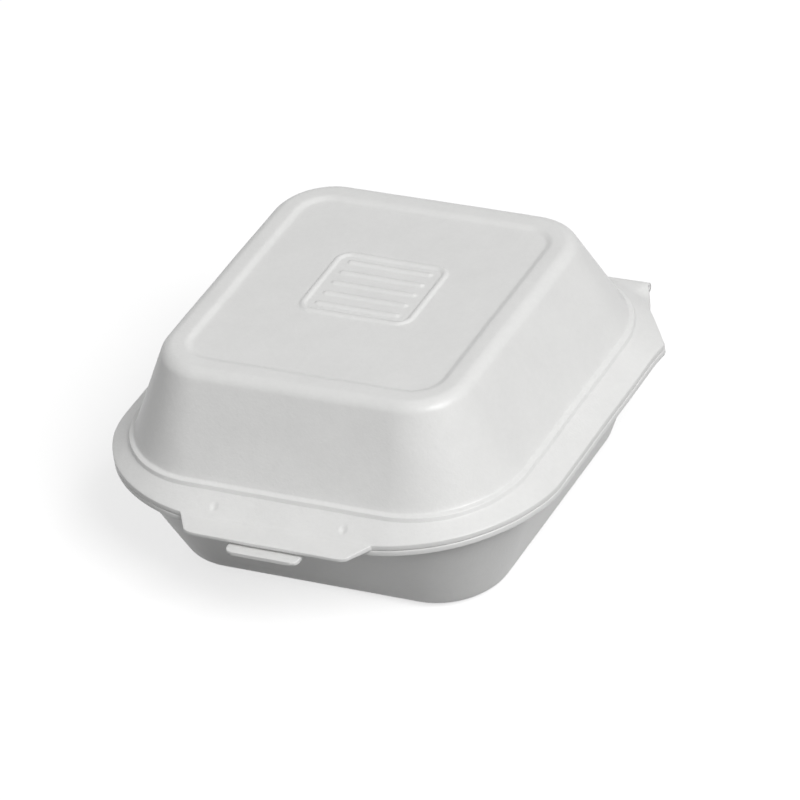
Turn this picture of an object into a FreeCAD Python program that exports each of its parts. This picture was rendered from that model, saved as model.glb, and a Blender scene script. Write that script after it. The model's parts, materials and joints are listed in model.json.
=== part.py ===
"""Hinged foam food container: a deep base tray and a domed lid joined by a fold along the back."""
import FreeCAD, Part
import os
from math import cos, radians, tan

Vector = FreeCAD.Vector
UP = Vector(0, 0, 1)
ALONG = Vector(1, 0, 0)

# Overall sizes. Y = 0 is the middle of the dome while the shapes are built.
width = 150.0
front_reach = 77.0
# How much shorter the skirt is at the hinge than at the front.
hinge_inset = 3.0
hinge_reach = front_reach - hinge_inset
base_height = 37.0
lid_height = 37.0
height = base_height + lid_height

# The foam sheet, and the running gap between the closed halves.
wall_thickness = 2.2
skirt_thickness = 1.5
parting_gap = 0.3

# The rounded-square plan: every level turns about the same corner axis.
skirt_corner_radius = 41.0
# The front corners are trimmed a little rounder than the corners turn.
corner_trim = 5.0
corner_x = width / 2 - skirt_corner_radius
corner_y = front_reach - skirt_corner_radius

# The skirt round the rim, which slopes down and outward.
skirt_slope = 31.0
skirt_width = 9.0
# How far the skirts run on past the rounded square, before the outline trims them.
skirt_overrun = 2.5
skirt_rise = tan(radians(skirt_slope))
skirt_drop = skirt_thickness / cos(radians(skirt_slope))
gap_drop = parting_gap / cos(radians(skirt_slope))
# The skirts part at the axis height where they reach the hinge.
lid_edge_top = base_height + gap_drop / 2 + skirt_drop - skirt_rise * (front_reach - hinge_reach)
base_edge_top = lid_edge_top - skirt_drop - gap_drop

# The lid's dome.
lid_wall_lean = 24.5
shoulder_radius = 5.0
inner_corner_radius = 2.5
top_ring_width = 7.0
recess_depth = 1.0
recess_step_width = 0.9
recess_edge_radius = 0.5
foot_ledge_rise = 0.9
foot_ledge_width = 1.6
foot_ledge_fall = 0.35
foot_ledge_step = 0.25
foot_ledge_radius = 0.3

# The base tray.
base_wall_lean = 24.0
base_bottom_radius = 6.0
crest_radius = 1.6
# How far the tray's wall meets its skirt outside the foot of the lid's wall.
crest_setback = 4.3

# The back corners, where the skirts are cut off and level ears carry the hinge.
hinge_half_length = 57.5
# How far the side skirts run past the corner axis before they are cut off.
side_skirt_run = 11.0
hinge_strip_side = 4.0
cut_corner_radius = 0.8
ear_inner_reach = hinge_reach - corner_y

# The fold of the hinge.
fold_radius = 1.6
fold_clearance = 0.3

# The closing tab of the lid and the tongue of the base below it.
tab_slope = 4.0
tab_half_width = 33.0
tab_tip_half_width = 27.5
tab_reach = 8.0
tongue_half_width = 13.0
tongue_tip_half_width = 11.5
tongue_reach = 11.0
tongue_chamfer = 2.0
dimple_spacing = 44.6
dimple_inset = 3.3
dimple_radius = 1.2
dimple_depth = 0.6

# The raised field in the middle of the lid: a plain frame with plain ribs.
field_length = 39.0
field_width = 33.0
field_offset = 2.8
field_line = 1.4
field_corner_radius = 5.0
field_height = 0.6
rib_count = 5
rib_margin = 5.0


def section_point(reach, level):
    return Vector(reach, 0, level)


def arc_corner(before, corner, after, radius):
    """The arc that rounds one corner, as its two ends and its middle."""
    back = (before - corner).normalize()
    ahead = (after - corner).normalize()
    half = back.getAngle(ahead) / 2
    shorter = min(before.distanceToPoint(corner), after.distanceToPoint(corner))
    radius = min(radius, 0.45 * shorter * tan(half))
    start = corner + back * (radius / tan(half))
    end = corner + ahead * (radius / tan(half))
    bisector = (back + ahead).normalize()
    centre = corner + bisector * start.sub(corner).Length * (1 / cos(half))
    return start, centre - bisector * radius, end


def rounded_face(points, radii):
    """A flat face inside a closed outline, with each corner rounded by its own radius."""
    edges = []
    first = None
    last = None
    count = len(points)
    for index in range(count):
        corner = points[index]
        start = end = corner
        middle = None
        if radii[index] > 0:
            ahead = points[(index + 1) % count]
            start, middle, end = arc_corner(points[index - 1], corner, ahead, radii[index])
        if last is not None:
            edges.append(Part.makeLine(last, start))
        if middle is not None:
            edges.append(Part.Arc(start, middle, end).toShape())
        first = start if first is None else first
        last = end
    edges.append(Part.makeLine(last, first))
    return Part.Face(Part.Wire(edges))


def rounded_rectangle(half_x, half_y, radius):
    """A flat rectangle about the middle, with round corners."""
    corners = ((-half_x, -half_y), (half_x, -half_y), (half_x, half_y), (-half_x, half_y))
    return rounded_face([Vector(x, y, 0) for x, y in corners], [radius] * 4)


def meeting_point(point_a, along_a, point_b, along_b):
    """Where two lines of a section meet."""
    scale = along_a.x * along_b.z - along_a.z * along_b.x
    offset = point_b - point_a
    step = (offset.x * along_b.z - offset.z * along_b.x) / scale
    return point_a + along_a * step


def inner_skin(points, thicknesses, side):
    """The other skin of a sheet: each stretch moved sideways by its thickness, and joined again."""
    lines = []
    for start, end, thickness in zip(points, points[1:], thicknesses):
        along = (end - start).normalize()
        normal = Vector(-along.z, 0, along.x) * side
        lines.append((start + normal * thickness, along))
    skin = [meeting_point(*lines[0], section_point(points[0].x, 0), UP)]
    for before, after in zip(lines, lines[1:]):
        skin.append(meeting_point(*before, *after))
    skin.append(meeting_point(*lines[-1], section_point(points[-1].x, 0), UP))
    return skin


def skirt_tip(edge):
    """The end of the skirt's section, past the edge that the outline will cut."""
    return section_point(edge.x + skirt_overrun, edge.z - skirt_rise * skirt_overrun)


def swept_shell(face, panel_low, panel_high):
    """Carries a section round the rounded square: four corners, four sides and the middle."""
    pieces = [Part.makeBox(2 * corner_x, 2 * corner_y, panel_high - panel_low,
                           Vector(-corner_x, -corner_y, panel_low))]
    turns = [(corner_x, corner_y, Vector(0, -2 * corner_y, 0)),
             (-corner_x, corner_y, Vector(2 * corner_x, 0, 0)),
             (-corner_x, -corner_y, Vector(0, 2 * corner_y, 0)),
             (corner_x, -corner_y, Vector(-2 * corner_x, 0, 0))]
    for quarter, (x, y, side) in enumerate(turns):
        placed = face.copy()
        placed.rotate(Vector(0, 0, 0), UP, 90 * quarter)
        placed.translate(Vector(x, y, 0))
        pieces.append(placed.extrude(side))
        pieces.append(placed.revolve(Vector(x, y, 0), UP, 90))
    return pieces[0].multiFuse(pieces[1:]).removeSplitter()


def trimming_prism(back_edge):
    """The plan outline of the skirts, with round front corners and the back corners cut off."""
    strip_start = hinge_reach - hinge_strip_side
    half = [(width / 2, corner_y + side_skirt_run, cut_corner_radius),
            (hinge_half_length, strip_start, cut_corner_radius),
            (hinge_half_length, back_edge, 0)]
    outline = [(width / 2, -front_reach, skirt_corner_radius + corner_trim)] + half
    outline += [(-x, y, radius) for x, y, radius in reversed(outline)]
    face = rounded_face([Vector(x, y, 0) for x, y, radius in outline], [radius for x, y, radius in outline])
    return face.extrude(Vector(0, 0, height))


def ear_plan(back_edge, half_length):
    """The plan of the two ears: the back strip without what lies inside the rounded square."""
    depth = back_edge - corner_y
    strip = Part.makePlane(2 * half_length, depth, Vector(-half_length, corner_y, 0))
    inside = rounded_rectangle(corner_x + ear_inner_reach, corner_y + ear_inner_reach, ear_inner_reach)
    return strip.cut(inside)


def with_ears(shell, back_edge, level, side_clearance):
    """Swaps the ends of the sloping back skirt for level ears, out to the ends of the hinge."""
    ears = ear_plan(back_edge, hinge_half_length).extrude(UP * skirt_thickness)
    ears.translate(UP * level)
    cleared = ear_plan(back_edge, hinge_half_length + side_clearance).extrude(UP * height)
    return shell.cut(cleared).fuse(ears)


def front_flap(root_half_width, tip_half_width, reach, chamfer, top):
    """A flat flap that carries on from the front edge of a skirt, whose top skin starts at top."""
    fall = tan(radians(tab_slope)) * reach
    side = Part.Face(Part.makePolygon([Vector(-width / 2, -front_reach, top),
                                       Vector(-width / 2, -front_reach - reach, top - fall),
                                       Vector(-width / 2, -front_reach - reach, top - fall - skirt_drop),
                                       Vector(-width / 2, -front_reach, top - skirt_drop),
                                       Vector(-width / 2, -front_reach, top)]))
    sheet = side.extrude(ALONG * width)
    half = [(root_half_width, 0), (tip_half_width, -reach)]
    if chamfer:
        half.insert(1, (root_half_width, chamfer - reach))
    outline = half + [(-x, y) for x, y in reversed(half)]
    corners = [Vector(x, y - front_reach, 0) for x, y in outline]
    return sheet.common(Part.Face(Part.makePolygon(corners + corners[:1])).extrude(Vector(0, 0, height)))


def make_lid():
    wall_run = tan(radians(lid_wall_lean))
    edge = section_point(skirt_corner_radius, lid_edge_top)
    foot = section_point(edge.x - skirt_width, edge.z + skirt_rise * skirt_width)
    shoulder = section_point(foot.x - wall_run * (height - foot.z), height)
    recess_high = section_point(shoulder.x - top_ring_width, height)
    recess_low = section_point(recess_high.x - recess_step_width, height - recess_depth)
    middle = section_point(0, recess_low.z)
    sheet = [middle, recess_low, recess_high, shoulder, foot, skirt_tip(edge)]
    below = inner_skin(sheet, [wall_thickness] * 4 + [skirt_thickness], -1)
    ledge_back = section_point(foot.x - wall_run * foot_ledge_rise, foot.z + foot_ledge_rise)
    ledge_front = section_point(ledge_back.x + foot_ledge_width, ledge_back.z - foot_ledge_fall)
    step_reach = ledge_front.x + foot_ledge_step
    step_foot = section_point(step_reach, edge.z + skirt_rise * (edge.x - step_reach))
    outer = sheet[:4] + [ledge_back, ledge_front, step_foot, sheet[-1]]
    outer_radii = [0, recess_edge_radius, recess_edge_radius, shoulder_radius,
                   foot_ledge_radius, foot_ledge_radius, foot_ledge_radius, 0]
    below_radii = [0, recess_edge_radius, recess_edge_radius, inner_corner_radius, inner_corner_radius, 0]
    face = rounded_face(outer + below[::-1], outer_radii + below_radii[::-1])
    shell = swept_shell(face, below[0].z, middle.z)
    back_edge = hinge_reach - fold_radius - fold_clearance
    shell = shell.common(trimming_prism(back_edge))
    shell = with_ears(shell, back_edge, base_height + parting_gap / 2, parting_gap)
    tab = front_flap(tab_half_width, tab_tip_half_width, tab_reach, 0, lid_edge_top)
    return shell.fuse([tab] + raised_field(middle.z)).cut(dimples()).removeSplitter()


def dimples():
    """Two small round dents in the front skirt, above the tab."""
    y = -front_reach + dimple_inset
    skin = lid_edge_top + skirt_rise * dimple_inset
    centre_height = skin + dimple_radius - dimple_depth
    dents = []
    for x in (-dimple_spacing / 2, dimple_spacing / 2):
        dents.append(Part.makeSphere(dimple_radius, Vector(x, y, centre_height)))
    return dents


def field_outline(inset):
    """The outline of the raised frame, drawn in by an inset."""
    return rounded_rectangle(field_length / 2 - inset, field_width / 2 - inset, field_corner_radius - inset)


def raised_field(panel_top):
    """A rounded frame and straight ribs, moulded up out of the lid's panel."""
    frame = field_outline(0).cut(field_outline(field_line)).extrude(UP * field_height)
    pieces = [frame]
    inner_width = field_width - 2 * rib_margin
    pitch = inner_width / (rib_count - 1)
    rib_length = field_length - 2 * rib_margin
    for index in range(rib_count):
        y = -inner_width / 2 + index * pitch - field_line / 2
        pieces.append(Part.makeBox(rib_length, field_line, field_height, Vector(-rib_length / 2, y, 0)))
    for piece in pieces:
        piece.translate(Vector(0, field_offset, panel_top))
    return pieces


def make_base_tray():
    wall_run = tan(radians(base_wall_lean))
    edge = section_point(skirt_corner_radius, base_edge_top - skirt_drop)
    crest_reach = edge.x - skirt_width + crest_setback
    crest = section_point(crest_reach, edge.z + skirt_rise * (edge.x - crest_reach))
    bottom = section_point(crest.x - wall_run * crest.z, 0)
    outer = [section_point(0, 0), bottom, crest, skirt_tip(edge)]
    inner = inner_skin(outer, [wall_thickness, wall_thickness, skirt_thickness], 1)
    outer_radii = [0, base_bottom_radius, crest_radius - skirt_thickness / 2, 0]
    inner_radii = [0, base_bottom_radius - wall_thickness, crest_radius, 0]
    face = rounded_face(outer + inner[::-1], outer_radii + inner_radii[::-1])
    shell = swept_shell(face, 0, inner[0].z)
    shell = shell.common(trimming_prism(hinge_reach))
    shell = with_ears(shell, hinge_reach, base_height - parting_gap / 2 - skirt_thickness, 0)
    tongue = front_flap(tongue_half_width, tongue_tip_half_width, tongue_reach, tongue_chamfer, base_edge_top)
    fold = Part.makeCylinder(fold_radius, 2 * hinge_half_length,
                             Vector(-hinge_half_length, hinge_reach, base_height), ALONG)
    return shell.fuse([tongue, fold]).removeSplitter()


def main():
    os.makedirs("parts", exist_ok=True)
    front_end = -front_reach - tongue_reach
    back_end = hinge_reach + fold_radius
    to_origin = Vector(0, -(front_end + back_end) / 2, 0)
    for name, shape in (("base_tray", make_base_tray()), ("lid", make_lid())):
        shape.translate(to_origin)
        box = shape.BoundBox
        print(name, "solids", len(shape.Solids), "valid", shape.isValid(), "volume", round(shape.Volume, 1),
              "box", [round(v, 2) for v in (box.XMin, box.YMin, box.ZMin, box.XMax, box.YMax, box.ZMax)])
        shape.exportStep("parts/" + name + ".step")
    print("hinge axis at y", round(hinge_reach + to_origin.y, 3), "z", base_height)


main()
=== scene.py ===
"""Hinged foam food container: two soft moulded shells, the fold between them, a pale stage and a camera."""

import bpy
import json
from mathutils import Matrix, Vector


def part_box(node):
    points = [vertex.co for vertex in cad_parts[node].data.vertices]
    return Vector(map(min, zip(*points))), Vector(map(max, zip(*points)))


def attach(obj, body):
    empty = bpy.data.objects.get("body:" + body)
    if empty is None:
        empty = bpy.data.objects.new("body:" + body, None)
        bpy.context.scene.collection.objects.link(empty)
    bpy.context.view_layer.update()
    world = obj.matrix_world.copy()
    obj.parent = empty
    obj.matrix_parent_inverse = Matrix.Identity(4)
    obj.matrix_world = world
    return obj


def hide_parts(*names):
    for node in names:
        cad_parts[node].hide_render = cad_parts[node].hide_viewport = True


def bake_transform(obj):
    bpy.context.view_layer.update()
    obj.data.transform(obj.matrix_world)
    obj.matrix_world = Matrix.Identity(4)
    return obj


bl_info = {
    "name": "Foam Clamshell Container",
    "version": (1, 0, 0),
    "blender": (4, 5, 0),
    "location": "View3D > Sidebar > Container",
    "description": "Builds a hinged foam food container with its lid, tray and fold",
    "category": "Add Mesh",
}

import json
import math

import bmesh
import bpy
from mathutils import Matrix, Vector, noise

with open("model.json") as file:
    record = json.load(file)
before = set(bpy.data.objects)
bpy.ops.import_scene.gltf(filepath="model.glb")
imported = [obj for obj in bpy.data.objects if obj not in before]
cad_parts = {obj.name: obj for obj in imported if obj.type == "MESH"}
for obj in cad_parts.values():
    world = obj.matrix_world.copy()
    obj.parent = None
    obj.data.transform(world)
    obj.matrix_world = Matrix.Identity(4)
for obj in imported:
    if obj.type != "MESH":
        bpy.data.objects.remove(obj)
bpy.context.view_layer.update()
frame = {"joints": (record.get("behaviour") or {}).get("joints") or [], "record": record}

MM = 0.001
UP = Vector((0, 0, 1))
LID_LOW, LID_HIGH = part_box("lid")
TRAY_LOW, TRAY_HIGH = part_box("base_tray")
HINGE = Vector(frame["joints"][0]["pos_m"])
MIDDLE = Vector(frame["record"]["mounts"][0]["pos_m"])
FOAM_COLOUR = tuple(frame["record"]["materials"][0]["base_color"][:3])
MERGE_DISTANCE = 1e-6
WAVE_SEED = 3
SKIN_TOLERANCE = 0.3 * MM
EDGE_TOLERANCE = 0.35 * MM
PANEL_TOLERANCE = 0.1 * MM
ARC_STEP = 0.45 * MM
LARGEST_TANGENT = 0.45
OUTLINE_SEGMENTS = 48
SHARP_EDGE = math.radians(48)
SOFT_SEGMENTS = 3
FOLD_CUTS = 57
FOOT_STILL = 2 * MM
FOOT_SETTLING = 12 * MM
SECOND_WAVE_RATE = 2.7
SECOND_WAVE_SHARE = 0.4
ROUGHNESS_CHANGE = 0.12
BROAD_DENTS = 1.6


def length(name, description, millimetres):
    """A length property, written in millimetres and kept in metres."""
    return bpy.props.FloatProperty(name=name, description=description, default=millimetres * MM,
                                   unit="LENGTH", precision=4)


def angle(name, description, degrees):
    """An angle property, written in degrees and kept in radians."""
    return bpy.props.FloatProperty(name=name, description=description, default=math.radians(degrees),
                                   unit="ROTATION")


def share(name, description, value):
    """A share from 0 to 1."""
    return bpy.props.FloatProperty(name=name, description=description, default=value,
                                   min=0.0, max=1.0, subtype="FACTOR")


def number(name, description, value):
    """A plain number without a unit."""
    return bpy.props.FloatProperty(name=name, description=description, default=value)


def count(name, description, value):
    """A whole number of one or more."""
    return bpy.props.IntProperty(name=name, description=description, default=value, min=1)


class PlanSizes(bpy.types.PropertyGroup):
    """Sizes of the rounded-square plan that both halves share."""
    skirt_corner_radius: length("Skirt corner radius", "Reach of the skirt's edge from the corner axis", 41.0)
    corner_trim: length("Corner trim", "How much rounder the front corners are trimmed", 5.0)
    skirt_slope: angle("Skirt slope", "Slope of the skirts, down and outward", 31.0)
    skirt_width: length("Skirt width", "Width of the lid's skirt in plan", 9.0)
    skirt_thickness: length("Skirt thickness", "Thickness of the pressed foam in the skirts", 1.5)
    wall_thickness: length("Wall thickness", "Thickness of the foam in the walls", 2.2)
    parting_gap: length("Parting gap", "Running gap between the closed halves", 0.3)
    side_skirt_run: length("Side skirt run", "How far the side skirts run past the corner axis", 11.0)
    hinge_half_length: length("Hinge half length", "Half the length of the fold", 57.5)
    hinge_strip_side: length("Hinge strip side", "Depth of the hinge strip beside the fold", 12.0)
    hinge_strip_flare: length("Hinge strip flare", "How much wider the strip is at its inner end", 5.4)
    strip_setback: length("Strip setback", "Distance from the hinge axis to the ends of the back strips", 0.3)
    ear_blend: angle("Ear blend", "Turn over which a level ear becomes a sloping skirt", 7.0)
    flap_thinning: share("Flap thinning", "How much thinner the tab and the tongue are at their tips", 0.3)
    mesh_pitch: length("Mesh pitch", "Distance between rows of the mesh along the straight sides", 1.0)
    corner_steps: count("Corner steps", "Rows of the mesh round each corner", 40)
    section_pitch: length("Section pitch", "Longest stretch of a section between two points", 1.6)
    edge_softness: length("Edge softness", "Rounding of the cut edges of the foam", 0.34)
    wave_height: length("Wave height", "How far the moulded walls wander from their true form", 0.16)
    wave_length: length("Wave length", "Length of the wandering of the moulded walls", 26.0)


class LidSizes(bpy.types.PropertyGroup):
    """Sizes of the domed lid."""
    wall_lean: angle("Wall lean", "Lean of the dome's walls from the upright", 24.5)
    shoulder_radius: length("Shoulder radius", "Rounding between the walls and the top ring", 5.0)
    inner_radius: length("Inner radius", "Rounding of the corners inside", 2.5)
    top_ring_width: length("Top ring width", "Width of the raised ring round the panel", 7.0)
    recess_depth: length("Recess depth", "Depth of the middle panel below the ring", 1.0)
    recess_step_width: length("Recess step width", "Width of the slope down to the panel", 1.9)
    recess_edge_radius: length("Recess edge radius", "Rounding of the edges of that slope", 2.6)
    ledge_rise: length("Ledge rise", "Height of the ledge at the foot of the wall", 0.9)
    ledge_width: length("Ledge width", "Width of the ledge at the foot of the wall", 1.6)
    ledge_fall: length("Ledge fall", "How far the ledge falls across its width", 0.35)
    ledge_step: length("Ledge step", "Width of the small step below the ledge", 0.3)
    ledge_radius: length("Ledge radius", "Rounding of the ledge's edges", 0.42)
    tab_reach: length("Tab reach", "How far the closing tab stands out", 8.0)
    tab_half_width: length("Tab half width", "Half the tab's width at the skirt", 33.0)
    tab_tip_half_width: length("Tab tip half width", "Half the tab's width at its tip", 27.5)
    tab_rounding: length("Tab rounding", "Rounding of the tab's outer corners", 1.2)
    tab_slope: angle("Tab slope", "Slope of the tab and the tongue", 4.0)
    dimple_spacing: length("Dimple spacing", "Distance between the two dents above the tab", 44.6)
    dimple_inset: length("Dimple inset", "Distance of the dents from the skirt's edge", 3.3)
    dimple_radius: length("Dimple radius", "Radius of each dent", 1.7)
    dimple_depth: length("Dimple depth", "Depth of each dent", 0.45)


class FieldSizes(bpy.types.PropertyGroup):
    """Sizes of the raised frame and ribs in the middle of the lid."""
    frame_length: length("Frame length", "Outer length of the frame", 39.0)
    frame_width: length("Frame width", "Outer width of the frame", 33.0)
    offset: length("Offset", "Distance of the frame's middle behind the lid's middle", 2.8)
    line: length("Line", "Width of the frame and the ribs", 1.6)
    corner_radius: length("Corner radius", "Rounding of the frame's corners", 5.0)
    height: length("Height", "Height of the frame and the ribs", 0.55)
    softness: length("Softness", "Width of the slopes beside each line", 1.1)
    ribs: count("Ribs", "Number of straight ribs in the frame", 5)
    rib_margin: length("Rib margin", "Distance of the ribs from the frame's outside", 5.0)


class TraySizes(bpy.types.PropertyGroup):
    """Sizes of the base tray."""
    wall_lean: angle("Wall lean", "Lean of the tray's walls from the upright", 24.0)
    bottom_radius: length("Bottom radius", "Rounding between the walls and the bottom", 6.0)
    crest_radius: length("Crest radius", "Rounding of the rim's crest", 1.6)
    crest_setback: length("Crest setback", "Distance of the crest outside the foot of the lid's wall", 4.3)
    tongue_reach: length("Tongue reach", "How far the tongue stands out", 11.0)
    tongue_half_width: length("Tongue half width", "Half the tongue's width at the skirt", 13.0)
    tongue_tip_half_width: length("Tongue tip half width", "Half the tongue's width at its tip", 12.4)
    tongue_rounding: length("Tongue rounding", "Rounding of the tongue's outer corners", 2.2)


class FoldSizes(bpy.types.PropertyGroup):
    """Sizes of the thin fold between the lid and the tray."""
    thickness: length("Thickness", "Thickness of the pressed fold", 1.4)
    overlap: length("Overlap", "How far the fold runs into the two strips", 0.5)
    rows: count("Rows", "Rows of the mesh round the fold", 20)


class FoamLook(bpy.types.PropertyGroup):
    """Colour and surface of the foam."""
    colour: bpy.props.FloatVectorProperty(name="Colour", description="Colour of the foam skin",
                                          subtype="COLOR", size=3, min=0.0, max=1.0, default=FOAM_COLOUR)
    roughness: share("Roughness", "Roughness of the foam skin", 0.36)
    mottling: share("Mottling", "How much the colour varies over the foam", 0.09)
    grain: length("Grain", "Size of the foam's cells", 0.9)
    grain_depth: length("Grain depth", "Height of the grain in the skin", 0.05)
    glow: share("Glow", "How much light passes into the foam", 0.12)


class StageLook(bpy.types.PropertyGroup):
    """Floor, lights and camera."""
    camera_azimuth: angle("Camera azimuth", "Turn of the camera round the container", 31.3)
    camera_elevation: angle("Camera elevation", "Height of the camera above the horizon", 34.0)
    camera_roll: angle("Camera roll", "Tilt of the picture", -9.17)
    camera_distance: length("Camera distance", "Distance from the camera to its target", 2024.0)
    camera_lens: number("Camera lens", "Focal length in millimetres on a 36 mm sensor", 291.8)
    target_right: length("Target right", "Place of the target across the hinge", 5.6)
    target_back: length("Target back", "Place of the target behind the dome's middle", -1.6)
    target_height: length("Target height", "Height of the target", 35.0)
    key_power: number("Key power", "Power of the key light in watts", 62.0)
    key_azimuth: angle("Key azimuth", "Turn of the key light from the front to the right", 62.0)
    key_elevation: angle("Key elevation", "Height of the key light above the horizon", 45.0)
    key_distance: length("Key distance", "Distance of the key light", 3000.0)
    key_size: length("Key size", "Side of the key light", 1400.0)
    ambient: share("Ambient", "Strength of the light from all round", 0.28)
    floor_size: length("Floor size", "Side of the floor", 12000.0)
    floor_gap: length("Floor gap", "How far the floor lies below the container's foot", 0.05)
    floor_bounce: share("Floor bounce", "Share of light that the floor gives back to the container", 0.2)
    floor_white: share("Floor white", "Share of light that the floor shows to the camera", 0.5)
    floor_lift: share("Floor lift", "White added to the floor where the camera sees it", 0.7)


SETTINGS = {
    "container_plan": PlanSizes,
    "container_lid": LidSizes,
    "container_field": FieldSizes,
    "container_tray": TraySizes,
    "container_fold": FoldSizes,
    "container_foam": FoamLook,
    "container_stage": StageLook,
}


class Plan:
    """The plan of the container about the middle of its dome, and the levels of its skirts."""

    def __init__(self, scene):
        sizes = scene.container_plan
        lid = scene.container_lid
        self.sizes = sizes
        self.half_width = LID_HIGH.x
        self.front = MIDDLE.y - LID_LOW.y - lid.tab_reach
        self.hinge = HINGE.y - MIDDLE.y
        self.edge = sizes.skirt_corner_radius
        self.corner_x = self.half_width - self.edge
        self.corner_y = self.front - self.edge
        self.rise = math.tan(sizes.skirt_slope)
        self.skirt_drop = sizes.skirt_thickness / math.cos(sizes.skirt_slope)
        gap_drop = sizes.parting_gap / math.cos(sizes.skirt_slope)
        self.lid_edge = HINGE.z + gap_drop / 2 + self.skirt_drop - self.rise * (self.front - self.hinge)
        self.tray_edge = self.lid_edge - self.skirt_drop - gap_drop
        self.back = self.hinge - sizes.strip_setback
        self.ear_start = self.hinge - self.corner_y
        self.limits = {}
        self.outline = self.outline_points()

    def outline_points(self):
        """The outline of the skirts as points, with round front corners and cut back corners."""
        sizes = self.sizes
        strip = sizes.hinge_half_length
        right = [(self.half_width, -self.front), (self.half_width, self.corner_y + sizes.side_skirt_run),
                 (strip + sizes.hinge_strip_flare, self.hinge - sizes.hinge_strip_side), (strip, self.back)]
        bm = bmesh.new()
        verts = [bm.verts.new((x, y, 0)) for x, y in right + [(-x, y) for x, y in reversed(right)]]
        bm.faces.new(verts)
        trim = sizes.skirt_corner_radius + sizes.corner_trim
        bmesh.ops.bevel(bm, geom=[verts[0], verts[-1]], offset=trim, offset_type="OFFSET",
                        segments=OUTLINE_SEGMENTS, profile=0.5, affect="VERTICES", material=-1)
        bm.faces.ensure_lookup_table()
        points = [vert.co.xy.copy() for vert in bm.faces[0].verts]
        bm.free()
        return points

    def axis_of(self, point):
        """The point of the corner axes' rectangle that a vertex of the walls turns about."""
        return Vector((max(-self.corner_x, min(self.corner_x, point.x)),
                       max(-self.corner_y, min(self.corner_y, point.y))))

    def limit(self, axis, direction):
        """How far the skirts reach from an axis point before the outline cuts them."""
        key = (round(axis.x, 6), round(axis.y, 6), round(direction.x, 5), round(direction.y, 5))
        if key not in self.limits:
            reach = self.edge * 1.5
            for start, end in zip(self.outline, self.outline[1:] + self.outline[:1]):
                along = end - start
                scale = direction.x * along.y - direction.y * along.x
                if abs(scale) < 1e-12:
                    continue
                offset = start - axis
                step = (offset.x * along.y - offset.y * along.x) / scale
                place = (offset.x * direction.y - offset.y * direction.x) / scale
                if step > 0 and -1e-6 <= place <= 1 + 1e-6:
                    reach = min(reach, step)
            self.limits[key] = reach
        return self.limits[key]


def smoothstep(value):
    """Eases a value from 0 to 1."""
    value = max(0.0, min(1.0, value))
    return value * value * (3 - 2 * value)


def meeting_point(point_a, along_a, point_b, along_b):
    """Where two lines of a section meet."""
    scale = along_a.x * along_b.y - along_a.y * along_b.x
    offset = point_b - point_a
    return point_a + along_a * ((offset.x * along_b.y - offset.y * along_b.x) / scale)


def inner_skin(points, thicknesses, side):
    """The other skin of a sheet: each stretch moved sideways by its thickness, and joined again."""
    lines = []
    for start, end, thickness in zip(points, points[1:], thicknesses):
        along = (end - start).normalized()
        lines.append((start + Vector((-along.y, along.x)) * side * thickness, along))
    upright = Vector((0, 1))
    skin = [meeting_point(*lines[0], Vector((points[0].x, 0)), upright)]
    skin += [meeting_point(*before, *after) for before, after in zip(lines, lines[1:])]
    skin.append(meeting_point(*lines[-1], Vector((points[-1].x, 0)), upright))
    return skin


def section_mesh(name, points, radii, pitch):
    """A section as a chain of edges in the XZ plane, with rounded corners, and open on the corner axis."""
    bm = bmesh.new()
    verts = [bm.verts.new((point.x, 0, point.y)) for point in points]
    bm.faces.new(verts)
    for index, (vert, radius) in enumerate(zip(verts, radii)):
        if radius:
            back = points[index - 1] - points[index]
            ahead = points[(index + 1) % len(points)] - points[index]
            half = back.angle(ahead) / 2
            tangent = min(radius / math.tan(half), LARGEST_TANGENT * min(back.length, ahead.length))
            segments = max(3, round(radius * (math.pi - 2 * half) / ARC_STEP))
            bmesh.ops.bevel(bm, geom=[vert], offset=tangent, offset_type="OFFSET", segments=segments,
                            profile=0.5, affect="VERTICES", material=-1)
    bmesh.ops.delete(bm, geom=list(bm.faces), context="FACES_ONLY")
    on_axis = [edge for edge in bm.edges if all(abs(vert.co.x) < MERGE_DISTANCE for vert in edge.verts)]
    bmesh.ops.delete(bm, geom=on_axis, context="EDGES")
    for edge in [edge for edge in bm.edges if edge.calc_length() > pitch]:
        bmesh.ops.subdivide_edges(bm, edges=[edge], cuts=int(edge.calc_length() / pitch))
    mesh = bpy.data.meshes.new(name)
    bm.to_mesh(mesh)
    bm.free()
    return mesh


def only_verts(items):
    """The vertices among a bmesh operator's results."""
    return [item for item in items if isinstance(item, bmesh.types.BMVert)]


def only_edges(items):
    """The edges among a bmesh operator's results."""
    return [item for item in items if isinstance(item, bmesh.types.BMEdge)]


def add_chain(bm, section, place):
    """Adds a copy of the section's chain, and returns its vertices and edges."""
    old_verts = len(bm.verts)
    old_edges = len(bm.edges)
    bm.from_mesh(section)
    bm.verts.ensure_lookup_table()
    bm.edges.ensure_lookup_table()
    verts = bm.verts[old_verts:]
    bmesh.ops.transform(bm, matrix=place, verts=verts)
    return verts, bm.edges[old_edges:]


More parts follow.
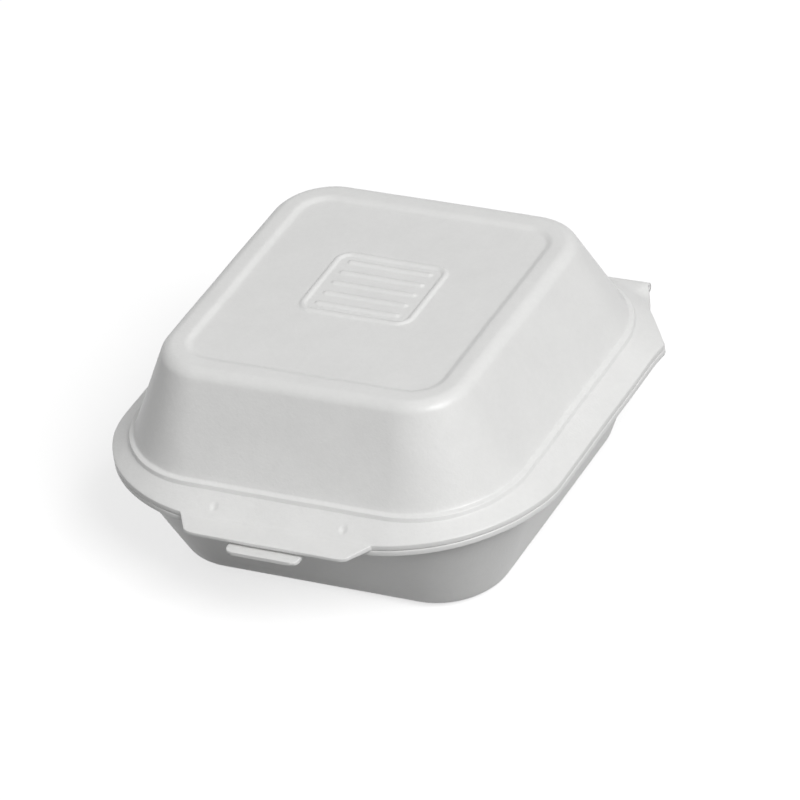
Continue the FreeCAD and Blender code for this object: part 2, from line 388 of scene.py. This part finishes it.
def swept_shell(section, plan, panel_levels):
    """Carries a section round the rounded square: four spun corners, four sides and the middle."""
    bm = bmesh.new()
    x, y = plan.corner_x, plan.corner_y
    quarters = [(Vector((x, y, 0)), Vector((0, -2 * y, 0))), (Vector((-x, y, 0)), Vector((2 * x, 0, 0))),
                (Vector((-x, -y, 0)), Vector((0, 2 * y, 0))), (Vector((x, -y, 0)), Vector((-2 * x, 0, 0)))]
    for quarter, (corner, side) in enumerate(quarters):
        place = Matrix.Translation(corner) @ Matrix.Rotation(math.pi / 2 * quarter, 4, "Z")
        verts, edges = add_chain(bm, section, place)
        bmesh.ops.spin(bm, geom=verts + edges, cent=corner, axis=UP, angle=math.pi / 2,
                       steps=plan.sizes.corner_steps, use_merge=False)
        verts, edges = add_chain(bm, section, place)
        rows = round(side.length / plan.sizes.mesh_pitch)
        for row in range(rows):
            made = bmesh.ops.extrude_edge_only(bm, edges=edges)["geom"]
            edges = only_edges(made)
            bmesh.ops.translate(bm, verts=only_verts(made), vec=side / rows)
    columns, rows = [round(2 * half / plan.sizes.mesh_pitch) for half in (x, y)]
    for level in panel_levels:
        place = Matrix.Translation((0, 0, level)) @ Matrix.Diagonal((x, y, 1, 1))
        bmesh.ops.create_grid(bm, x_segments=columns, y_segments=rows, size=1.0, matrix=place)
    bpy.data.meshes.remove(section)
    bmesh.ops.remove_doubles(bm, verts=bm.verts, dist=MERGE_DISTANCE)
    bmesh.ops.recalc_face_normals(bm, faces=bm.faces)
    return bm


def trim_skirt(bm, plan, start):
    """Slides the skirt's rows in to the outline, down their own slope, and levels the ears."""
    sizes = plan.sizes
    for vert in bm.verts:
        axis = plan.axis_of(vert.co)
        out = vert.co.xy - axis
        reach = out.length
        if reach <= start:
            continue
        direction = out / reach
        limit = plan.limit(axis, direction)
        new_reach = start + (reach - start) * (limit - start) / (plan.edge - start)
        place = axis + direction * new_reach
        level = vert.co.z + plan.rise * (reach - new_reach)
        if place.y > plan.corner_y and new_reach > plan.ear_start:
            strip_end = math.atan2(plan.back - plan.corner_y, sizes.hinge_half_length - plan.corner_x)
            turn = math.atan2(abs(direction.y), abs(direction.x))
            levelled = smoothstep((turn - strip_end) / sizes.ear_blend + 1)
            level += plan.rise * (new_reach - plan.ear_start) * levelled
        vert.co = Vector((place.x, place.y, level))


def flap_half_width(place, half_width, tip_half_width, reach, rounding):
    """Half the width of a flap at a distance from the skirt, with round outer corners."""
    width = half_width + (tip_half_width - half_width) * place / reach
    past = max(place - reach + rounding, 0)
    return width - rounding + math.sqrt(rounding * rounding - past * past)


def draw_out_flap(bm, plan, half_width, tip_half_width, reach, rounding, slope):
    """Draws a flap out of the cut front edge of a skirt."""
    def on_edge(vert):
        return vert.co.y < -plan.front + EDGE_TOLERANCE and abs(vert.co.x) < half_width + EDGE_TOLERANCE

    faces = [face for face in bm.faces if all(on_edge(vert) for vert in face.verts)]
    steps = round(2 * reach / plan.sizes.mesh_pitch)
    thinner = (1 - plan.sizes.flap_thinning) ** (1 / steps)
    for step in range(steps):
        made = bmesh.ops.extrude_face_region(bm, geom=faces)["geom"]
        bmesh.ops.delete(bm, geom=faces, context="FACES_ONLY")
        faces = [item for item in made if isinstance(item, bmesh.types.BMFace)]
        start, end = [flap_half_width(reach * place / steps, half_width, tip_half_width, reach, rounding)
                      for place in (step, step + 1)]
        verts = {vert for face in faces for vert in face.verts}
        top = max(vert.co.z for vert in verts)
        for vert in verts:
            vert.co.x *= end / start
            vert.co.y -= reach / steps
            vert.co.z = top - (top - vert.co.z) * thinner - math.tan(slope) * reach / steps


def refine(bm, chosen, cuts):
    """Divides the faces that a test chooses into finer ones."""
    faces = [face for face in bm.faces if chosen(face.calc_center_median())]
    edges = list({edge for face in faces for edge in face.edges})
    bmesh.ops.subdivide_edges(bm, edges=edges, cuts=cuts, use_grid_fill=True)


def line_height(distance, line, softness):
    """Height, from 0 to 1, of a soft ridge at a distance from its middle."""
    return 1 - smoothstep((abs(distance) - line / 2 + softness / 2) / softness)


def field_height(x, y, field):
    """Height, from 0 to 1, of the raised frame and ribs at a point of the panel."""
    y -= field.offset
    half_x = field.frame_length / 2 - field.line / 2
    half_y = field.frame_width / 2 - field.line / 2
    radius = field.corner_radius - field.line / 2
    over = Vector((max(abs(x) - half_x + radius, 0), max(abs(y) - half_y + radius, 0)))
    inward = min(max(abs(x) - half_x + radius, abs(y) - half_y + radius), 0)
    height = line_height(over.length + inward - radius, field.line, field.softness)
    span = field.frame_width / 2 - field.rib_margin
    rib_end = field.frame_length / 2 - field.rib_margin
    if abs(y) < span + field.line and abs(x) < rib_end + field.line:
        pitch = 2 * span / (field.ribs - 1)
        nearest = max(-span, min(span, round((y + span) / pitch) * pitch - span))
        past_end = max(abs(x) - rib_end + field.line / 2, 0)
        height = max(height, line_height(math.hypot(y - nearest, past_end), field.line, field.softness))
    return height


def raise_field(bm, field, level):
    """Raises the frame and the ribs out of the lid's panel."""
    margin = 2 * MM

    def near(centre):
        return (abs(centre.z - level) < PANEL_TOLERANCE and abs(centre.x) < field.frame_length / 2 + margin
                and abs(centre.y - field.offset) < field.frame_width / 2 + margin)

    refine(bm, near, 2)
    for vert in bm.verts:
        if near(vert.co):
            vert.co.z += field.height * field_height(vert.co.x, vert.co.y, field)


def press_dimples(bm, plan, lid):
    """Presses two small dents into the front skirt above the tab."""
    def depth_in_sheet(point):
        return plan.lid_edge + plan.rise * (point.y + plan.front) - point.z

    for x in (-lid.dimple_spacing / 2, lid.dimple_spacing / 2):
        centre = Vector((x, -plan.front + lid.dimple_inset))

        def near(point):
            beside = (point.xy - centre).length < 2 * lid.dimple_radius
            return beside and depth_in_sheet(point) < plan.skirt_drop / 2

        refine(bm, near, 2)
        for vert in bm.verts:
            distance = (vert.co.xy - centre).length
            if distance < lid.dimple_radius and abs(depth_in_sheet(vert.co)) < SKIN_TOLERANCE:
                vert.co.z -= lid.dimple_depth * (1 - smoothstep(distance / lid.dimple_radius))


def wander(bm, sizes):
    """Lets the moulded sheet wander a little, the same on both skins."""
    noise.seed_set(WAVE_SEED)
    for vert in bm.verts:
        place = vert.co / sizes.wave_length
        turn = noise.noise_vector(place) + noise.noise_vector(place * SECOND_WAVE_RATE) * SECOND_WAVE_SHARE
        settle = smoothstep((vert.co.z - FOOT_STILL) / FOOT_SETTLING)
        vert.co += turn * sizes.wave_height * settle


def finished_piece(bm, name, material, soften=0.0):
    """Turns a bmesh about the dome's middle into a smooth piece in the container's frame."""
    if soften:
        sharp = [edge for edge in bm.edges if edge.is_manifold and edge.calc_face_angle() > SHARP_EDGE]
        bmesh.ops.bevel(bm, geom=sharp, offset=soften, offset_type="OFFSET",
                        segments=SOFT_SEGMENTS, profile=0.5, affect="EDGES", clamp_overlap=True, material=-1)
    for face in bm.faces:
        face.smooth = True
    bmesh.ops.translate(bm, verts=bm.verts, vec=Vector((0, MIDDLE.y, 0)))
    mesh = bpy.data.meshes.new(name)
    bm.to_mesh(mesh)
    bm.free()
    piece = bpy.data.objects.new(name, mesh)
    bpy.context.scene.collection.objects.link(piece)
    mesh.materials.append(material)
    return piece


def group_socket(group, name, direction, kind, default=None):
    """Adds one named socket to a node group."""
    socket = group.interface.new_socket(name=name, in_out=direction, socket_type=kind)
    if default is not None:
        socket.default_value = default


def add_node(tree, kind, place, **values):
    """Adds a node at a place in the tree and sets its settings and inputs."""
    node = tree.nodes.new(kind)
    node.location = place
    for key, value in values.items():
        if hasattr(node, key):
            setattr(node, key, value)
        else:
            node.inputs[key.replace("_", " ").title()].default_value = value
    return node


def foam_skin_group():
    """Node group of the foam's skin: its cells, its dents and the clouding of its colour."""
    group = bpy.data.node_groups.new("Foam skin", "ShaderNodeTree")
    group_socket(group, "Grain Size", "INPUT", "NodeSocketFloat", 0.9)
    group_socket(group, "Mottling", "INPUT", "NodeSocketFloat", 0.05)
    group_socket(group, "Colour", "INPUT", "NodeSocketColor", (*FOAM_COLOUR, 1.0))
    group_socket(group, "Roughness", "INPUT", "NodeSocketFloat", 0.42)
    group_socket(group, "Colour", "OUTPUT", "NodeSocketColor")
    group_socket(group, "Roughness", "OUTPUT", "NodeSocketFloat")
    group_socket(group, "Height", "OUTPUT", "NodeSocketFloat")
    entry = add_node(group, "NodeGroupInput", (-1200, 0))
    leave = add_node(group, "NodeGroupOutput", (900, 0))
    place = add_node(group, "ShaderNodeTexCoord", (-1200, -300))
    inverse = add_node(group, "ShaderNodeMath", (-1000, 0), operation="DIVIDE")
    inverse.inputs[0].default_value = 1000.0
    group.links.new(entry.outputs["Grain Size"], inverse.inputs[1])
    cells = add_node(group, "ShaderNodeTexNoise", (-700, 200), detail=2.0, roughness=0.5)
    dents = add_node(group, "ShaderNodeTexNoise", (-700, -100), scale=330.0, detail=3.0, roughness=0.55)
    clouds = add_node(group, "ShaderNodeTexNoise", (-700, -400), scale=70.0, detail=4.0, roughness=0.6)
    specks = add_node(group, "ShaderNodeTexNoise", (-700, -700), scale=620.0, detail=2.0, roughness=0.6)
    group.links.new(inverse.outputs[0], cells.inputs["Scale"])
    for texture in (cells, dents, clouds, specks):
        group.links.new(place.outputs["Object"], texture.inputs["Vector"])
    low = add_node(group, "ShaderNodeMath", (-400, -50), operation="MULTIPLY_ADD")
    low.inputs[1].default_value = BROAD_DENTS
    group.links.new(dents.outputs["Fac"], low.inputs[0])
    group.links.new(cells.outputs["Fac"], low.inputs[2])
    group.links.new(low.outputs[0], leave.inputs["Height"])
    sum_tint = add_node(group, "ShaderNodeMath", (-400, -450), operation="MULTIPLY_ADD")
    sum_tint.inputs[1].default_value = 0.5
    group.links.new(specks.outputs["Fac"], sum_tint.inputs[0])
    group.links.new(clouds.outputs["Fac"], sum_tint.inputs[2])
    centred = add_node(group, "ShaderNodeMath", (-200, -450), operation="SUBTRACT")
    centred.inputs[1].default_value = 0.75
    group.links.new(sum_tint.outputs[0], centred.inputs[0])
    tint = add_node(group, "ShaderNodeMath", (0, -450), operation="MULTIPLY_ADD")
    tint.inputs[2].default_value = 1.0
    group.links.new(centred.outputs[0], tint.inputs[0])
    group.links.new(entry.outputs["Mottling"], tint.inputs[1])
    tinted = add_node(group, "ShaderNodeVectorMath", (250, -250), operation="SCALE")
    group.links.new(entry.outputs["Colour"], tinted.inputs[0])
    group.links.new(tint.outputs[0], tinted.inputs["Scale"])
    group.links.new(tinted.outputs[0], leave.inputs["Colour"])
    rough = add_node(group, "ShaderNodeMath", (250, 100), operation="MULTIPLY_ADD")
    rough.inputs[1].default_value = ROUGHNESS_CHANGE
    group.links.new(centred.outputs[0], rough.inputs[0])
    group.links.new(entry.outputs["Roughness"], rough.inputs[2])
    group.links.new(rough.outputs[0], leave.inputs["Roughness"])
    return group


def foam_material(scene, name, grain_share=1.0):
    """White polystyrene foam with a satin skin. The pressed parts have a finer grain."""
    look = scene.container_foam
    material = bpy.data.materials.new(name)
    material.use_nodes = True
    tree = material.node_tree
    tree.nodes.clear()
    out = add_node(tree, "ShaderNodeOutputMaterial", (700, 0))
    shader = add_node(tree, "ShaderNodeBsdfPrincipled", (400, 0))
    shader.inputs["Subsurface Weight"].default_value = look.glow
    shader.inputs["Subsurface Radius"].default_value = (1.0, 1.0, 1.0)
    shader.inputs["Subsurface Scale"].default_value = 1.5 * MM
    group = bpy.data.node_groups.get("Foam skin") or foam_skin_group()
    skin = add_node(tree, "ShaderNodeGroup", (-200, 0))
    skin.node_tree = group
    skin.inputs["Grain Size"].default_value = look.grain / MM * grain_share
    skin.inputs["Mottling"].default_value = look.mottling
    skin.inputs["Colour"].default_value = (*look.colour, 1.0)
    skin.inputs["Roughness"].default_value = look.roughness
    bump = add_node(tree, "ShaderNodeBump", (150, -250))
    bump.inputs["Strength"].default_value = 1.0
    bump.inputs["Distance"].default_value = look.grain_depth * grain_share
    tree.links.new(skin.outputs["Colour"], shader.inputs["Base Color"])
    tree.links.new(skin.outputs["Roughness"], shader.inputs["Roughness"])
    tree.links.new(skin.outputs["Height"], bump.inputs["Height"])
    tree.links.new(bump.outputs["Normal"], shader.inputs["Normal"])
    tree.links.new(shader.outputs[0], out.inputs["Surface"])
    return material


class CONTAINER_OT_lid(bpy.types.Operator):
    """Builds the domed lid with its panel, ledge, skirt and tab"""
    bl_idname = "container.lid"
    bl_label = "Build Lid"

    def execute(self, context):
        scene = context.scene
        plan = Plan(scene)
        sizes = plan.sizes
        lid = scene.container_lid
        top = LID_HIGH.z
        run = math.tan(lid.wall_lean)
        edge = Vector((plan.edge, plan.lid_edge))
        foot = Vector((edge.x - sizes.skirt_width, edge.y + plan.rise * sizes.skirt_width))
        shoulder = Vector((foot.x - run * (top - foot.y), top))
        recess_high = Vector((shoulder.x - lid.top_ring_width, top))
        recess_low = Vector((recess_high.x - lid.recess_step_width, top - lid.recess_depth))
        sheet = [Vector((0, recess_low.y)), recess_low, recess_high, shoulder, foot, edge]
        below = inner_skin(sheet, [sizes.wall_thickness] * 4 + [sizes.skirt_thickness], -1)
        ledge_back = Vector((foot.x - run * lid.ledge_rise, foot.y + lid.ledge_rise))
        ledge_front = Vector((ledge_back.x + lid.ledge_width, ledge_back.y - lid.ledge_fall))
        step_reach = ledge_front.x + lid.ledge_step
        step_foot = Vector((step_reach, edge.y + plan.rise * (edge.x - step_reach)))
        outer = sheet[:4] + [ledge_back, ledge_front, step_foot, edge]
        outer_radii = [0, lid.recess_edge_radius, lid.recess_edge_radius, lid.shoulder_radius,
                       2 * lid.ledge_radius, lid.ledge_radius, lid.ledge_radius, 0]
        below_radii = [0, lid.recess_edge_radius, lid.recess_edge_radius,
                       lid.inner_radius, lid.inner_radius, 0]
        radii = outer_radii + below_radii[::-1]
        section = section_mesh("lid_section", outer + below[::-1], radii, sizes.section_pitch)
        bm = swept_shell(section, plan, (recess_low.y, below[0].y))
        trim_skirt(bm, plan, step_reach + MM)
        draw_out_flap(bm, plan, lid.tab_half_width, lid.tab_tip_half_width, lid.tab_reach,
                      lid.tab_rounding, lid.tab_slope)
        raise_field(bm, scene.container_field, recess_low.y)
        press_dimples(bm, plan, lid)
        wander(bm, sizes)
        piece = finished_piece(bm, "lid_shell", foam_material(scene, "Foam lid"), sizes.edge_softness)
        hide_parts("lid")
        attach(piece, "cover")
        return {"FINISHED"}


class CONTAINER_OT_tray(bpy.types.Operator):
    """Builds the base tray with its skirt and tongue"""
    bl_idname = "container.tray"
    bl_label = "Build Tray"

    def execute(self, context):
        scene = context.scene
        plan = Plan(scene)
        sizes = plan.sizes
        tray = scene.container_tray
        run = math.tan(tray.wall_lean)
        edge = Vector((plan.edge, plan.tray_edge - plan.skirt_drop))
        crest_reach = edge.x - sizes.skirt_width + tray.crest_setback
        crest = Vector((crest_reach, edge.y + plan.rise * (edge.x - crest_reach)))
        bottom = Vector((crest.x - run * crest.y, 0))
        outer = [Vector((0, 0)), bottom, crest, edge]
        inner = inner_skin(outer, [sizes.wall_thickness, sizes.wall_thickness, sizes.skirt_thickness], 1)
        outer_radii = [0, tray.bottom_radius, tray.crest_radius - sizes.skirt_thickness / 2, 0]
        inner_radii = [0, tray.bottom_radius - sizes.wall_thickness, tray.crest_radius, 0]
        radii = outer_radii + inner_radii[::-1]
        section = section_mesh("tray_section", outer + inner[::-1], radii, sizes.section_pitch)
        bm = swept_shell(section, plan, (0, inner[0].y))
        trim_skirt(bm, plan, crest.x + 0.5 * MM)
        draw_out_flap(bm, plan, tray.tongue_half_width, tray.tongue_tip_half_width, tray.tongue_reach,
                      tray.tongue_rounding, scene.container_lid.tab_slope)
        wander(bm, sizes)
        piece = finished_piece(bm, "tray_shell", foam_material(scene, "Foam tray"), sizes.edge_softness)
        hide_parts("base_tray")
        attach(piece, "tray")
        return {"FINISHED"}


class CONTAINER_OT_fold(bpy.types.Operator):
    """Builds the pressed fold that joins the lid to the tray"""
    bl_idname = "container.fold"
    bl_label = "Build Fold"

    def execute(self, context):
        scene = context.scene
        plan = Plan(scene)
        fold = scene.container_fold
        ear_top = plan.lid_edge + plan.rise * (plan.edge - plan.ear_start)
        ear_bottom = plan.tray_edge - plan.skirt_drop + plan.rise * (plan.edge - plan.ear_start)
        radius = (ear_top - ear_bottom) / 2 - fold.thickness / 4
        centre = Vector((0, plan.back, (ear_top + ear_bottom) / 2))
        bm = bmesh.new()
        half = plan.sizes.hinge_half_length
        start = [bm.verts.new((-half, -fold.overlap, reach)) for reach in (radius, radius - fold.thickness)]
        top = bmesh.ops.extrude_edge_only(bm, edges=[bm.edges.new(start)])["geom"]
        bmesh.ops.translate(bm, verts=only_verts(top), vec=(0, fold.overlap, 0))
        bottom = bmesh.ops.spin(bm, geom=only_edges(top) + only_verts(top), cent=(0, 0, 0), axis=(1, 0, 0),
                                angle=-math.pi, steps=fold.rows, use_merge=False)["geom_last"]
        tail = bmesh.ops.extrude_edge_only(bm, edges=only_edges(bottom))["geom"]
        bmesh.ops.translate(bm, verts=only_verts(tail), vec=(0, -fold.overlap, 0))
        side = bmesh.ops.extrude_face_region(bm, geom=list(bm.faces), use_keep_orig=True)["geom"]
        bmesh.ops.translate(bm, verts=only_verts(side), vec=(2 * half, 0, 0))
        long_edges = [line for line in bm.edges if abs(line.verts[0].co.x - line.verts[1].co.x) > half]
        bmesh.ops.subdivide_edges(bm, edges=long_edges, cuts=FOLD_CUTS, use_grid_fill=True)
        bmesh.ops.translate(bm, verts=bm.verts, vec=centre)
        bmesh.ops.recalc_face_normals(bm, faces=bm.faces)
        wander(bm, plan.sizes)
        piece = finished_piece(bm, "hinge_fold", foam_material(scene, "Foam fold", 0.6))
        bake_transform(piece)
        return {"FINISHED"}


def aim(item, place, target):
    """Puts a lamp or a camera at a place and points it at its target."""
    item.location = place
    item.rotation_euler = (target - place).to_track_quat("-Z", "Y").to_euler()


def seen_white(tree, others, strength, x, y):
    """One value where the camera, a reflection or a clear part shows a surface, and another elsewhere."""
    rays = add_node(tree, "ShaderNodeLightPath", (x - 900, y))
    shown = add_node(tree, "ShaderNodeMath", (x - 650, y), operation="MAXIMUM")
    tree.links.new(rays.outputs["Is Camera Ray"], shown.inputs[0])
    tree.links.new(rays.outputs["Is Glossy Ray"], shown.inputs[1])
    seen = add_node(tree, "ShaderNodeMath", (x - 450, y), operation="MAXIMUM")
    tree.links.new(shown.outputs[0], seen.inputs[0])
    tree.links.new(rays.outputs["Is Transmission Ray"], seen.inputs[1])
    amount = add_node(tree, "ShaderNodeMath", (x - 250, y), operation="MULTIPLY_ADD")
    amount.inputs[1].default_value = strength - others
    amount.inputs[2].default_value = others
    tree.links.new(seen.outputs[0], amount.inputs[0])
    return amount


def floor_material(look):
    """A white floor that keeps the container's shadow."""
    material = bpy.data.materials.new("Pale floor")
    material.use_nodes = True
    tree = material.node_tree
    tree.nodes.clear()
    out = add_node(tree, "ShaderNodeOutputMaterial", (600, 0))
    paint = add_node(tree, "ShaderNodeBsdfDiffuse", (0, 0))
    shade = seen_white(tree, look.floor_bounce, look.floor_white, -100, 300)
    tree.links.new(shade.outputs[0], paint.inputs["Color"])
    lift = add_node(tree, "ShaderNodeEmission", (0, -200))
    amount = seen_white(tree, 0.0, look.floor_lift, -100, -200)
    tree.links.new(amount.outputs[0], lift.inputs["Strength"])
    both = add_node(tree, "ShaderNodeAddShader", (300, 0))
    tree.links.new(paint.outputs[0], both.inputs[0])
    tree.links.new(lift.outputs[0], both.inputs[1])
    tree.links.new(both.outputs[0], out.inputs["Surface"])
    return material


class CONTAINER_OT_stage(bpy.types.Operator):
    """Builds the floor, the lights, the surroundings and the camera"""
    bl_idname = "container.stage"
    bl_label = "Build Stage"

    def execute(self, context):
        scene = context.scene
        look = scene.container_stage
        bm = bmesh.new()
        bmesh.ops.create_grid(bm, x_segments=1, y_segments=1, size=look.floor_size / 2,
                              matrix=Matrix.Translation(-UP * look.floor_gap))
        mesh = bpy.data.meshes.new("floor")
        bm.to_mesh(mesh)
        bm.free()
        mesh.materials.append(floor_material(look))
        floor = bpy.data.objects.new("floor", mesh)
        scene.collection.objects.link(floor)

        world = bpy.data.worlds.new("Surroundings")
        scene.world = world
        world.use_nodes = True
        background = world.node_tree.nodes["Background"]
        amount = seen_white(world.node_tree, look.ambient, 1.0, -100, 300)
        world.node_tree.links.new(amount.outputs[0], background.inputs["Strength"])
        background.inputs["Color"].default_value = (1.0, 1.0, 1.0, 1.0)

        target = Vector((look.target_right, MIDDLE.y + look.target_back, look.target_height))
        light = bpy.data.lights.new("key", "AREA")
        light.energy = look.key_power
        light.shape = "SQUARE"
        light.size = look.key_size
        lamp = bpy.data.objects.new("key", light)
        scene.collection.objects.link(lamp)
        aim(lamp, target + direction_from(look.key_azimuth, look.key_elevation) * look.key_distance, target)

        camera = bpy.data.cameras.new("camera")
        camera.lens = look.camera_lens
        camera.sensor_width = 36.0
        camera.clip_end = 2 * look.floor_size
        seat = bpy.data.objects.new("camera", camera)
        scene.collection.objects.link(seat)
        back = direction_from(look.camera_azimuth, look.camera_elevation)
        aim(seat, target + back * look.camera_distance, target)
        roll = Matrix.Rotation(look.camera_roll, 3, back)
        seat.rotation_euler = (roll @ seat.rotation_euler.to_matrix()).to_euler()
        scene.camera = seat
        scene.view_settings.view_transform = "Standard"
        return {"FINISHED"}


def direction_from(azimuth, elevation):
    """The direction towards a place round the container. Azimuth 0 is straight in front."""
    level = math.cos(elevation)
    return Vector((math.sin(azimuth) * level, -math.cos(azimuth) * level, math.sin(elevation)))


class CONTAINER_PT_panel(bpy.types.Panel):
    """Lists the container's pieces and their settings"""
    bl_idname = "CONTAINER_PT_panel"
    bl_label = "Foam Container"
    bl_space_type = "VIEW_3D"
    bl_region_type = "UI"
    bl_category = "Container"

    def draw(self, context):
        for operator in OPERATORS:
            self.layout.operator(operator.bl_idname)
        for name in SETTINGS:
            box = self.layout.box()
            settings = getattr(context.scene, name)
            for key in settings.__annotations__:
                box.prop(settings, key)


OPERATORS = (CONTAINER_OT_lid, CONTAINER_OT_tray, CONTAINER_OT_fold, CONTAINER_OT_stage)


def register():
    for cls in (*SETTINGS.values(), *OPERATORS, CONTAINER_PT_panel):
        bpy.utils.register_class(cls)
    for name, cls in SETTINGS.items():
        setattr(bpy.types.Scene, name, bpy.props.PointerProperty(type=cls))


def unregister():
    for name in SETTINGS:
        delattr(bpy.types.Scene, name)
    for cls in reversed((*SETTINGS.values(), *OPERATORS, CONTAINER_PT_panel)):
        bpy.utils.unregister_class(cls)


def main():
    register()
    bpy.ops.container.lid()
    bpy.ops.container.tray()
    bpy.ops.container.fold()
    bpy.ops.container.stage()


if __name__ == "__main__":
    main()
